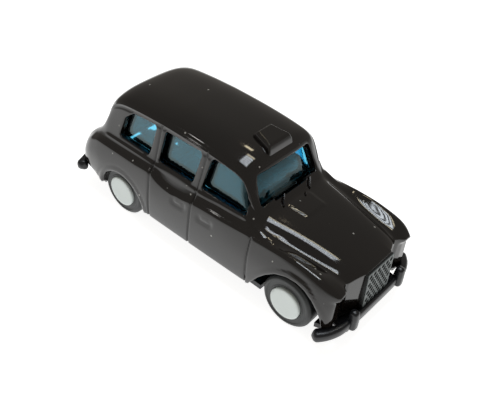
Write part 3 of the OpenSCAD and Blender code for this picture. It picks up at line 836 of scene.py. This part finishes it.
# %% Peened posts
def lathe(name, profile, centre, axis, body, slot, stands_for=(), around=96):
    """A turned piece: profile is (radius, distance along the axis) in order round its section."""
    a = np.linspace(0, 2 * math.pi, around, endpoint=False)
    n, rings = len(profile), []
    for r, h in profile:
        ring = np.zeros((around, 3))
        ring[:, axis] = h
        ring[:, (axis + 1) % 3] = r * np.cos(a)
        ring[:, (axis + 2) % 3] = r * np.sin(a)
        rings.append(ring)
    faces = [[k * around + m, k * around + (m + 1) % around, (k + 1) * around + (m + 1) % around,
              (k + 1) * around + m] for k in range(n - 1) for m in range(around)]
    faces += [list(range(around))[::-1], list(range((n - 1) * around, n * around))]
    obj = piece(name, np.vstack(rings) + list(centre), faces, body, slot, stands_for)
    face_out(obj)
    return obj


peened = [(.9, .9), (1.3, .9), (1.3, .45), (1.75, .42), (1.72, .3), (1.5, .14), (1.1, .06), (.5, .12),
          (.15, .2)]
for end, px in posts.items():
    lathe(f"{end}_post_end", peened, (px, 0, PLATE_LOW), 2, "cab", "black_paint", (), 48)
print("posts at", {k: round(v, 2) for k, v in posts.items()})

# %% [markdown]
# A wheel is a plain black tyre pressed on the steel axle, with a pale disc set in its outer face.
# All of it is turned work, so each piece is a profile spun round the axle. The edges have small
# radii, which is what draws the thin bright ring at the rim of each tyre.

# %% Wheels
def rounded_profile(corners, radii):
    """A profile whose corners are quarter-rounded by their own radii."""
    out, n = [], len(corners)
    for k in range(n):
        q, r = np.array(corners[k], float), radii[k]
        if r == 0:
            out.append(tuple(q))
            continue
        p, s = np.array(corners[k - 1], float), np.array(corners[(k + 1) % n], float)
        a, b = (p - q) / np.linalg.norm(p - q), (s - q) / np.linalg.norm(s - q)
        for t in np.linspace(0, 1, 6):
            out.append(tuple((1 - t) ** 2 * (q + a * r) + 2 * t * (1 - t) * q + t * t * (q + b * r)))
    return out


def measured(node):
    """Inner and outer face of a node across the cab, and its radius, in millimetres."""
    low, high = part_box(node)
    inner, outer = sorted((abs(low.y) / MM, abs(high.y) / MM))
    return inner, outer, (high.z - low.z) / 2 / MM


for end in ("front", "rear"):
    centre = (axle_at[end].x, 0, axle_at[end].z)
    for tag, s in (("left", 1), ("right", -1)):
        node = f"{end}_{tag}_tyre"
        inner, outer, radius = measured(node)
        section = [(.62, inner + .5), (2.2, inner + .5), (2.6, inner), (radius - .35, inner),
                   (radius, inner + .35), (radius, outer - .45), (radius - .5, outer), (4.25, outer),
                   (4.15, outer - .12), (3.5, outer - .12), (3.4, outer), (3.12, outer),
                   (3.12, outer - .6), (.62, outer - .6)]
        radii = [0, .1, .15, .15, .15, .18, .2, .04, .04, .04, .04, .1, 0, 0]
        lathe(node + "_turned", [(r, s * h) for r, h in rounded_profile(section, radii)], centre, 1,
              f"{end}_wheelset", "tyre_plastic", [node])
        node = f"{end}_{tag}_hub"
        inner, face, _ = measured(node)
        disc = [(.05, inner + .02), (3.05, inner + .02), (3.08, face - .22), (3.0, face - .1),
                (2.84, face - .02), (2.6, face), (1.6, face - .03), (.6, face - .05), (.05, face - .05)]
        lathe(node + "_disc", [(r, s * h) for r, h in disc], centre, 1, f"{end}_wheelset",
              "hub_plastic", [node])
print("wheels made, radius", round(radius, 2), "mm")

# %% [markdown]
# Surface wear is made once, as a node group that every finish shares: fine grain for the bump,
# sparse specks of dust, and a slow change of tone. Each finish then chooses how much it takes.

# %% Shared wear group
def wear_group():
    group = bpy.data.node_groups.new("surface_wear", "ShaderNodeTree")
    face = group.interface
    for name, value in (("Fineness", 1.0), ("Dust Size", 1.0), ("Dust Amount", .5)):
        socket = face.new_socket(name, in_out="INPUT", socket_type="NodeSocketFloat")
        socket.default_value = value
    for name in ("Grain", "Dust", "Tone"):
        face.new_socket(name, in_out="OUTPUT", socket_type="NodeSocketFloat")
    nodes, link = group.nodes, group.links.new
    entry, leave = nodes.new("NodeGroupInput"), nodes.new("NodeGroupOutput")
    place = nodes.new("ShaderNodeTexCoord")

    def scaled(base, socket=None):
        times = nodes.new("ShaderNodeMath")
        times.operation = "MULTIPLY"
        times.inputs[0].default_value = base
        if socket:
            link(entry.outputs[socket], times.inputs[1])
        else:
            times.inputs[1].default_value = 1
        return times.outputs[0]

    def noise(scale, detail):
        made = nodes.new("ShaderNodeTexNoise")
        made.inputs["Detail"].default_value = detail
        link(place.outputs["Object"], made.inputs["Vector"])
        link(scale, made.inputs["Scale"])
        return made.outputs["Fac"]

    link(noise(scaled(420, "Fineness"), 2), leave.inputs["Grain"])
    link(noise(scaled(55), 3), leave.inputs["Tone"])
    cells = nodes.new("ShaderNodeTexVoronoi")
    link(place.outputs["Object"], cells.inputs["Vector"])
    link(scaled(760, "Dust Size"), cells.inputs["Scale"])
    speck = nodes.new("ShaderNodeMapRange")
    speck.inputs["From Min"].default_value, speck.inputs["From Max"].default_value = .16, .08
    link(cells.outputs["Distance"], speck.inputs["Value"])
    chance = nodes.new("ShaderNodeSeparateColor")
    link(cells.outputs["Color"], chance.inputs["Color"])
    rare = nodes.new("ShaderNodeMath")
    rare.operation = "LESS_THAN"
    link(chance.outputs["Red"], rare.inputs[0])
    link(entry.outputs["Dust Amount"], rare.inputs[1])
    both = nodes.new("ShaderNodeMath")
    both.operation = "MULTIPLY"
    link(speck.outputs["Result"], both.inputs[0])
    link(rare.outputs[0], both.inputs[1])
    link(both.outputs[0], leave.inputs["Dust"])
    return group


WEAR = wear_group()
print("wear group outputs:", [s.name for s in WEAR.interface.items_tree if s.in_out == "OUTPUT"])

# %% [markdown]
# Finishes. The paint is thick gloss black over zinc, a little orange-peeled and dusty. The grille's
# bars are painted a lighter grey, a painted sheen for the light they catch, and the cells behind them
# are dull. The base is satin black plastic, the tyres a duller one, the hubs pale plastic, the
# windows clear blue plastic.

# %% Finishes
def finish(name, colour, rough, dust_colour=(.42, .41, .38), dust=.02, fineness=1.0, bump=.01, spread=.08,
           second=None, **constants):
    """A Principled finish on the shared wear group. Bump is in millimetres."""
    material = bpy.data.materials.new(name)
    material.use_nodes = True
    tree = material.node_tree
    shader = tree.nodes["Principled BSDF"]
    for socket, value in constants.items():
        shader.inputs[socket.replace("_", " ")].default_value = value
    worn = tree.nodes.new("ShaderNodeGroup")
    worn.node_tree = WEAR
    worn.inputs["Fineness"].default_value = fineness
    worn.inputs["Dust Amount"].default_value = dust
    tone = tree.nodes.new("ShaderNodeMix")
    tone.data_type = "RGBA"
    tone.inputs["A"].default_value = (*colour, 1)
    tone.inputs["B"].default_value = (*(second or colour), 1)
    tree.links.new(worn.outputs["Tone"], tone.inputs["Factor"])
    dusty = tree.nodes.new("ShaderNodeMix")
    dusty.data_type = "RGBA"
    dusty.inputs["B"].default_value = (*dust_colour, 1)
    tree.links.new(worn.outputs["Dust"], dusty.inputs["Factor"])
    tree.links.new(tone.outputs["Result"], dusty.inputs["A"])
    tree.links.new(dusty.outputs["Result"], shader.inputs["Base Color"])
    dull = tree.nodes.new("ShaderNodeMapRange")
    dull.inputs["To Min"].default_value, dull.inputs["To Max"].default_value = rough, rough + spread
    tree.links.new(worn.outputs["Tone"], dull.inputs["Value"])
    tree.links.new(dull.outputs["Result"], shader.inputs["Roughness"])
    relief_node = tree.nodes.new("ShaderNodeBump")
    relief_node.inputs["Distance"].default_value = bump * MM
    tree.links.new(worn.outputs["Grain"], relief_node.inputs["Height"])
    tree.links.new(relief_node.outputs["Normal"], shader.inputs["Normal"])
    return material


finishes = {
    "black_paint": finish("black_paint", (.004, .0036, .0034), .05, dust=.08, fineness=1.1, bump=.01,
                          spread=.05, second=(.009, .0065, .005), Coat_Weight=.2,
                          Coat_Roughness=.06, IOR=1.5),
    # the grille's bars: painted sheen, a lighter grey standing in for the light the black bars catch
    "grille_painted_sheen": finish("grille_painted_sheen", (.09, .105, .105), .45, dust=.03, fineness=2, bump=.01,
                         second=(.13, .15, .15), IOR=1.5),
    "dull_paint": finish("dull_paint", (.008, .009, .009), .6, dust=.02, bump=.01, IOR=1.5),
    "black_plastic": finish("black_plastic", (.006, .0068, .009), .27, dust=.02, fineness=2,
                            bump=.012, IOR=1.5),
    "tyre_plastic": finish("tyre_plastic", (.03, .033, .033), .4, dust=.03, fineness=2.5,
                           bump=.012, IOR=1.5),
    "hub_plastic": finish("hub_plastic", (.66, .72, .7), .38, dust_colour=(.3, .29, .27), dust=.02,
                          bump=.006, second=(.72, .78, .76), IOR=1.5),
    "axle_steel": finish("axle_steel", (.5, .5, .52), .3, dust=.01, bump=.004, Metallic=1.0),
    "blue_clear_plastic": finish("blue_clear_plastic", (.1, .5, .72), .02, dust_colour=(.5, .6, .65),
                                 dust=.012, bump=.004, spread=.04, Transmission_Weight=1.0,
                                 IOR=1.68, Specular_Tint=(.65, .95, 1, 1)),
}
# the grille takes the lighter grey of painted sheen
OWN_FINISH = {"grille": "grille_painted_sheen", "grille_backing": "dull_paint", "front_axle": "axle_steel",
              "rear_axle": "axle_steel"}
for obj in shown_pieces():
    obj.data.materials.clear()
    obj.data.materials.append(finishes[OWN_FINISH.get(obj.name) or obj["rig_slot"]])

# %% [markdown]
# The cab stands on a plain pale table. Gloss black shows nothing but what it reflects, so the
# light matters as much as the paint: the pale table greys the flanks. The table glows, a painted pool
# of light that is bright near the cab only and fades away from it, so that the windscreen, which looks
# far along it, stays dark, and the cab's shadow on it is washed out. The room is dim. A blind of seven
# narrow slats overhead draws the thin parallel lines along the bonnet, and two small lamps put a
# glint on the gutter and the far wing.

# %% Table and light
# the table's painted pool of light: full glow near the centre, faded beyond GLOW_GONE
GLOW_CENTRE, GLOW_FULL, GLOW_GONE = (-.03, .04, 0), .115, .19      # metres on the table
ROOM_COLOUR, ROOM_STRENGTH = (1, .94, .86, 1), .27


def stage_mesh(name, points, faces):
    mesh = bpy.data.meshes.new(name)
    mesh.from_pydata(points, [], faces)
    obj = bpy.data.objects.new(name, mesh)
    bpy.context.scene.collection.objects.link(obj)
    return obj


table = stage_mesh("table", [(-3, -3, 0), (3, -3, 0), (3, 3, 0), (-3, 3, 0)], [[0, 1, 2, 3]])
# the table glows: its emission is a painted pool of light round the cab
pale = finish("table_painted_glow", (.86, .86, .855), .6, dust=0, bump=.002, second=(.88, .88, .87), IOR=1.3,
              Emission_Strength=.85)
nodes, link = pale.node_tree.nodes, pale.node_tree.links.new
shader, place = nodes["Principled BSDF"], nodes.new("ShaderNodeTexCoord")
away, fade = nodes.new("ShaderNodeVectorMath"), nodes.new("ShaderNodeMapRange")
away.operation = "DISTANCE"
away.inputs[1].default_value = GLOW_CENTRE
fade.inputs["From Min"].default_value, fade.inputs["From Max"].default_value = GLOW_GONE, GLOW_FULL
fade.inputs["To Min"].default_value = .1
link(place.outputs["Object"], away.inputs[0])
link(away.outputs["Value"], fade.inputs["Value"])
# painted pool of light: the glow fades with distance from the cab
link(fade.outputs["Result"], shader.inputs["Emission Color"])
side_seen, upper = nodes.new("ShaderNodeNewGeometry"), nodes.new("ShaderNodeMath")   # clear from below
upper.operation = "SUBTRACT"
upper.inputs[0].default_value = 1
link(side_seen.outputs["Backfacing"], upper.inputs[1])
link(upper.outputs["Value"], shader.inputs["Alpha"])
table.data.materials.append(pale)

world = bpy.data.worlds.new("room")
bpy.context.scene.world = world
world.use_nodes = True
room = world.node_tree.nodes["Background"]
room.inputs["Color"].default_value, room.inputs["Strength"].default_value = ROOM_COLOUR, ROOM_STRENGTH
bpy.context.scene.view_settings.view_transform = "Standard"


def soft_light(name, direction, distance, wide, tall, radiance, colour):
    """An area light that faces the cab from a direction and shines with a given radiance."""
    data = bpy.data.lights.new(name, "AREA")
    data.shape, data.size, data.size_y = "RECTANGLE", wide, tall
    data.energy = radiance * math.pi * wide * tall
    data.color = colour
    lamp = bpy.data.objects.new(name, data)
    bpy.context.scene.collection.objects.link(lamp)
    d = Vector(direction).normalized()
    lamp.location = Vector((0, 0, .012)) + d * distance
    sideways = (Vector((1, 0, 0)) - d * d.x).normalized()
    lamp.rotation_mode = "QUATERNION"
    lamp.rotation_quaternion = Matrix((sideways, d.cross(sideways), d)).transposed().to_quaternion()


WARM, COOL = (1, .9, .66), (.86, .93, 1)
SLATS = [  # degrees from overhead towards the right side, radiance, colour
    (-18, 10, WARM), (-14, 14, COOL), (-10, 14, COOL), (-6, 14, COOL), (-2, 14, COOL), (2, 13, COOL),
    (6, 12, COOL)]
for k, (tilt, radiance, colour) in enumerate(SLATS):
    t = math.radians(tilt)
    soft_light(f"slat_{k}", (-.06, -math.sin(t), math.cos(t)), .5, .2, .018, radiance, colour)
soft_light("far_window", (-.5, -.55, .62), .6, .03, .03, 16, (1, .98, .95))
soft_light("lamp", (-.3, .45, .85), .6, .05, .03, 10, (1, .86, .6))

# %% [markdown]
# The camera looks down on the nose and the right side from a little above the roof, close enough
# for the perspective to show.

# %% Camera
CAMERA_AT, LOOKS_AT, ROLL = Vector((63.77, -78.03, 91.72)) * MM, Vector((6.17, -3.46, 11.5)) * MM, 5.5
camera_data = bpy.data.cameras.new("camera")
camera_data.lens, camera_data.sensor_width = 49.79, 36
camera_data.clip_start, camera_data.clip_end = .005, 20
camera = bpy.data.objects.new("camera", camera_data)
bpy.context.scene.collection.objects.link(camera)
camera.location = CAMERA_AT
camera.rotation_mode = "QUATERNION"
level = (LOOKS_AT - CAMERA_AT).to_track_quat("-Z", "Y")
camera.rotation_quaternion = level @ Quaternion((0, 0, 1), math.radians(ROLL))
bpy.context.scene.camera = camera
